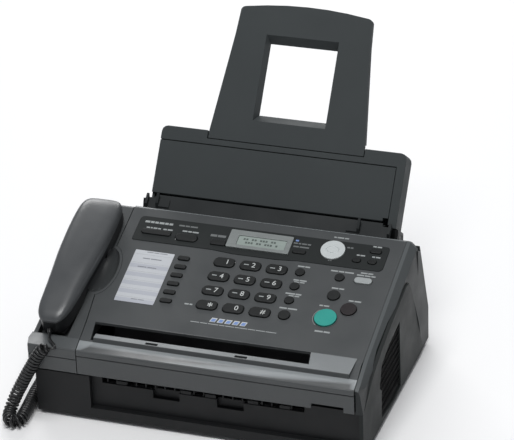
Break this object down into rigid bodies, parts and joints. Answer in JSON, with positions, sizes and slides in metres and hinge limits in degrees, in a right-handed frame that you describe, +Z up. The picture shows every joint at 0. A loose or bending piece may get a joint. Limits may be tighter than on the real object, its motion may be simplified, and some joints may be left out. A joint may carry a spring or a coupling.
{
  "type": "fax machine",
  "caption": "Desktop laser fax machine: sloping keypad cover that lifts, corded handset on a left cradle, document slots, and a leaning paper tray with windowed support.",
  "frame": {"origin": "centre of the footprint box, on the surface the machine stands on, with the handset cord left out of the box", "axes": "+Z up, -Y towards the user at the control panel, +X to the right"},
  "size_m": [0.4038, 0.4376, 0.3403],
  "materials": {
    "cartridge": "moulded black",
    "circuit_board": "solder resist",
    "copy_key": "smooth dark brown",
    "cord": "smooth flexible jacket",
    "dark_casing": "fine texture, black",
    "display_bezel": "silver paint",
    "feeder": "fine texture, dark grey",
    "grey_shell": "fine spark-eroded texture, charcoal grey",
    "handset_face": "fine texture, near black",
    "handset_shell": "satin charcoal grey",
    "inner_metal": "plated sheet steel",
    "key": "smooth black",
    "panel_plate": "semi-gloss film, near black",
    "roller_rubber": "ground rubber",
    "side_door": "fine texture, dark grey",
    "silver_key": "silver paint",
    "start_key": "smooth green",
    "tray": "fine texture, dark grey"
  },
  "bodies": {
    "base": {"cradle_cover": "grey_shell", "paper_tray": "tray", "right_cover": "grey_shell", "side_door": "side_door", "lower_casing": "dark_casing", "rear_cover": "dark_casing", "print_cartridge": "cartridge", "laser_unit": "inner_metal", "fuser_unit": "inner_metal", "main_board": "circuit_board", "cord_coil": "cord", "cord_lead": "cord", "cord_tail": "cord"},
    "top_cover": {"control_panel": "grey_shell", "panel_plate": "panel_plate", "display_bezel": "display_bezel", "feeder_deck": "feeder"},
    "tension_plate": {"tension_plate": "tray"},
    "tray_extension": {"tray_extension": "tray"},
    "guide_left": {"guide_left": "feeder"},
    "guide_right": {"guide_right": "feeder"},
    "handset": {"handset_shell": "handset_shell", "handset_face": "handset_face"},
    "hook_switch": {"hook_switch": "dark_casing"},
    "exit_roller": {"exit_roller": "roller_rubber"},
    "key_1": {"key_1": "key"},
    "key_2": {"key_2": "key"},
    "key_3": {"key_3": "key"},
    "key_4": {"key_4": "key"},
    "key_5": {"key_5": "key"},
    "key_6": {"key_6": "key"},
    "key_7": {"key_7": "key"},
    "key_8": {"key_8": "key"},
    "key_9": {"key_9": "key"},
    "key_star": {"key_star": "key"},
    "key_0": {"key_0": "key"},
    "key_hash": {"key_hash": "key"},
    "one_touch_1": {"one_touch_1": "key"},
    "one_touch_2": {"one_touch_2": "key"},
    "one_touch_3": {"one_touch_3": "key"},
    "one_touch_4": {"one_touch_4": "key"},
    "one_touch_5": {"one_touch_5": "key"},
    "one_touch_6": {"one_touch_6": "key"},
    "redial_key": {"redial_key": "key"},
    "flash_key": {"flash_key": "key"},
    "monitor_key": {"monitor_key": "key"},
    "speaker_key": {"speaker_key": "key"},
    "quick_scan_key": {"quick_scan_key": "key"},
    "stop_key": {"stop_key": "key"},
    "copy_key": {"copy_key": "copy_key"},
    "start_key": {"start_key": "start_key"},
    "auto_receive_key": {"auto_receive_key": "silver_key"},
    "erase_key": {"erase_key": "key"},
    "playback_key": {"playback_key": "key"},
    "tone_key": {"tone_key": "key"},
    "caller_id_key": {"caller_id_key": "key"},
    "navigator_key": {"navigator_key": "silver_key"},
    "menu_key": {"menu_key": "key"},
    "help_key": {"help_key": "key"},
    "set_key": {"set_key": "key"}
  },
  "joints": [
    {"name": "top_cover_hinge", "type": "hinge", "parent": "base", "child": "top_cover", "pos_m": [0.0055, 0.0519, 0.152], "axis": [-1, 0, 0], "range_deg": [0, 40]},
    {"name": "tension_plate_hinge", "type": "hinge", "parent": "base", "child": "tension_plate", "pos_m": [0.0055, 0.0575, 0.1536], "axis": [1, 0, 0], "range_deg": [0, 14]},
    {"name": "tray_extension_slide", "type": "slide", "parent": "base", "child": "tray_extension", "axis": [0, 0.5878, 0.809], "range_m": [0, 0.02]},
    {"name": "handset_lift", "type": "slide", "parent": "base", "child": "handset", "axis": [0, -0.309, 0.9511], "range_m": [0, 0.04]},
    {"name": "hook_switch_travel", "type": "slide", "parent": "base", "child": "hook_switch", "axis": [0, -0.309, 0.9511], "range_m": [0, 0.003]},
    {"name": "guide_left_slide", "type": "slide", "parent": "top_cover", "child": "guide_left", "axis": [1, 0, 0], "range_m": [0, 0.045]},
    {"name": "guide_right_slide", "type": "slide", "parent": "top_cover", "child": "guide_right", "axis": [1, 0, 0], "range_m": [-0.045, 0]},
    {"name": "exit_roller_spin", "type": "hinge", "parent": "top_cover", "child": "exit_roller", "pos_m": [-0.0005, -0.1601, 0.08], "axis": [1, 0, 0], "continuous": true},
    {"name": "erase_key_tilt", "type": "hinge", "parent": "top_cover", "child": "erase_key", "pos_m": [-0.103, -0.009, 0.13588], "axis": [0, 0.9511, 0.309], "range_deg": [-2.5, 2.5], "stiffness_Nm_per_rad": 0.1},
    {"name": "navigator_key_tilt", "type": "hinge", "parent": "top_cover", "child": "navigator_key", "pos_m": [0.1017, -0.00139, 0.13835], "axis": [1, 0, 0], "range_deg": [-3, 3], "stiffness_Nm_per_rad": 0.1},
    {"name": "key_1_press", "type": "slide", "parent": "top_cover", "child": "key_1", "axis": [0, -0.309, 0.9511], "range_m": [-0.0015, 0], "stiffness_N_per_m": 400},
    {"name": "key_2_press", "type": "slide", "parent": "top_cover", "child": "key_2", "axis": [0, -0.309, 0.9511], "range_m": [-0.0015, 0], "stiffness_N_per_m": 400},
    {"name": "key_3_press", "type": "slide", "parent": "top_cover", "child": "key_3", "axis": [0, -0.309, 0.9511], "range_m": [-0.0015, 0], "stiffness_N_per_m": 400},
    {"name": "key_4_press", "type": "slide", "parent": "top_cover", "child": "key_4", "axis": [0, -0.309, 0.9511], "range_m": [-0.0015, 0], "stiffness_N_per_m": 400},
    {"name": "key_5_press", "type": "slide", "parent": "top_cover", "child": "key_5", "axis": [0, -0.309, 0.9511], "range_m": [-0.0015, 0], "stiffness_N_per_m": 400},
    {"name": "key_6_press", "type": "slide", "parent": "top_cover", "child": "key_6", "axis": [0, -0.309, 0.9511], "range_m": [-0.0015, 0], "stiffness_N_per_m": 400},
    {"name": "key_7_press", "type": "slide", "parent": "top_cover", "child": "key_7", "axis": [0, -0.309, 0.9511], "range_m": [-0.0015, 0], "stiffness_N_per_m": 400},
    {"name": "key_8_press", "type": "slide", "parent": "top_cover", "child": "key_8", "axis": [0, -0.309, 0.9511], "range_m": [-0.0015, 0], "stiffness_N_per_m": 400},
    {"name": "key_9_press", "type": "slide", "parent": "top_cover", "child": "key_9", "axis": [0, -0.309, 0.9511], "range_m": [-0.0015, 0], "stiffness_N_per_m": 400},
    {"name": "key_star_press", "type": "slide", "parent": "top_cover", "child": "key_star", "axis": [0, -0.309, 0.9511], "range_m": [-0.0015, 0], "stiffness_N_per_m": 400},
    {"name": "key_0_press", "type": "slide", "parent": "top_cover", "child": "key_0", "axis": [0, -0.309, 0.9511], "range_m": [-0.0015, 0], "stiffness_N_per_m": 400},
    {"name": "key_hash_press", "type": "slide", "parent": "top_cover", "child": "key_hash", "axis": [0, -0.309, 0.9511], "range_m": [-0.0015, 0], "stiffness_N_per_m": 400},
    {"name": "one_touch_1_press", "type": "slide", "parent": "top_cover", "child": "one_touch_1", "axis": [0, -0.309, 0.9511], "range_m": [-0.0015, 0], "stiffness_N_per_m": 400},
    {"name": "one_touch_2_press", "type": "slide", "parent": "top_cover", "child": "one_touch_2", "axis": [0, -0.309, 0.9511], "range_m": [-0.0015, 0], "stiffness_N_per_m": 400},
    {"name": "one_touch_3_press", "type": "slide", "parent": "top_cover", "child": "one_touch_3", "axis": [0, -0.309, 0.9511], "range_m": [-0.0015, 0], "stiffness_N_per_m": 400},
    {"name": "one_touch_4_press", "type": "slide", "parent": "top_cover", "child": "one_touch_4", "axis": [0, -0.309, 0.9511], "range_m": [-0.0015, 0], "stiffness_N_per_m": 400},
    {"name": "one_touch_5_press", "type": "slide", "parent": "top_cover", "child": "one_touch_5", "axis": [0, -0.309, 0.9511], "range_m": [-0.0015, 0], "stiffness_N_per_m": 400},
    {"name": "one_touch_6_press", "type": "slide", "parent": "top_cover", "child": "one_touch_6", "axis": [0, -0.309, 0.9511], "range_m": [-0.0015, 0], "stiffness_N_per_m": 400},
    {"name": "redial_key_press", "type": "slide", "parent": "top_cover", "child": "redial_key", "axis": [0, -0.309, 0.9511], "range_m": [-0.0015, 0], "stiffness_N_per_m": 400},
    {"name": "flash_key_press", "type": "slide", "parent": "top_cover", "child": "flash_key", "axis": [0, -0.309, 0.9511], "range_m": [-0.0015, 0], "stiffness_N_per_m": 400},
    {"name": "monitor_key_press", "type": "slide", "parent": "top_cover", "child": "monitor_key", "axis": [0, -0.309, 0.9511], "range_m": [-0.0015, 0], "stiffness_N_per_m": 400},
    {"name": "speaker_key_press", "type": "slide", "parent": "top_cover", "child": "speaker_key", "axis": [0, -0.309, 0.9511], "range_m": [-0.0015, 0], "stiffness_N_per_m": 400},
    {"name": "quick_scan_key_press", "type": "slide", "parent": "top_cover", "child": "quick_scan_key", "axis": [0, -0.309, 0.9511], "range_m": [-0.0015, 0], "stiffness_N_per_m": 400},
    {"name": "stop_key_press", "type": "slide", "parent": "top_cover", "child": "stop_key", "axis": [0, -0.309, 0.9511], "range_m": [-0.0015, 0], "stiffness_N_per_m": 400},
    {"name": "copy_key_press", "type": "slide", "parent": "top_cover", "child": "copy_key", "axis": [0, -0.309, 0.9511], "range_m": [-0.0015, 0], "stiffness_N_per_m": 400},
    {"name": "start_key_press", "type": "slide", "parent": "top_cover", "child": "start_key", "axis": [0, -0.309, 0.9511], "range_m": [-0.0015, 0], "stiffness_N_per_m": 400},
    {"name": "auto_receive_key_press", "type": "slide", "parent": "top_cover", "child": "auto_receive_key", "axis": [0, -0.309, 0.9511], "range_m": [-0.0015, 0], "stiffness_N_per_m": 400},
    {"name": "playback_key_press", "type": "slide", "parent": "top_cover", "child": "playback_key", "axis": [0, -0.309, 0.9511], "range_m": [-0.0015, 0], "stiffness_N_per_m": 400},
    {"name": "tone_key_press", "type": "slide", "parent": "top_cover", "child": "tone_key", "axis": [0, -0.309, 0.9511], "range_m": [-0.0015, 0], "stiffness_N_per_m": 400},
    {"name": "caller_id_key_press", "type": "slide", "parent": "top_cover", "child": "caller_id_key", "axis": [0, -0.309, 0.9511], "range_m": [-0.0015, 0], "stiffness_N_per_m": 400},
    {"name": "menu_key_press", "type": "slide", "parent": "top_cover", "child": "menu_key", "axis": [0, -0.309, 0.9511], "range_m": [-0.0015, 0], "stiffness_N_per_m": 400},
    {"name": "help_key_press", "type": "slide", "parent": "top_cover", "child": "help_key", "axis": [0, -0.309, 0.9511], "range_m": [-0.0015, 0], "stiffness_N_per_m": 400},
    {"name": "set_key_press", "type": "slide", "parent": "top_cover", "child": "set_key", "axis": [0, -0.309, 0.9511], "range_m": [-0.0015, 0], "stiffness_N_per_m": 400}
  ],
  "couplings": [
    {"joint": "guide_right_slide", "follows": "guide_left_slide", "ratio": -1},
    {"joint": "hook_switch_travel", "follows": "handset_lift", "ratio": 0.075}
  ]
}
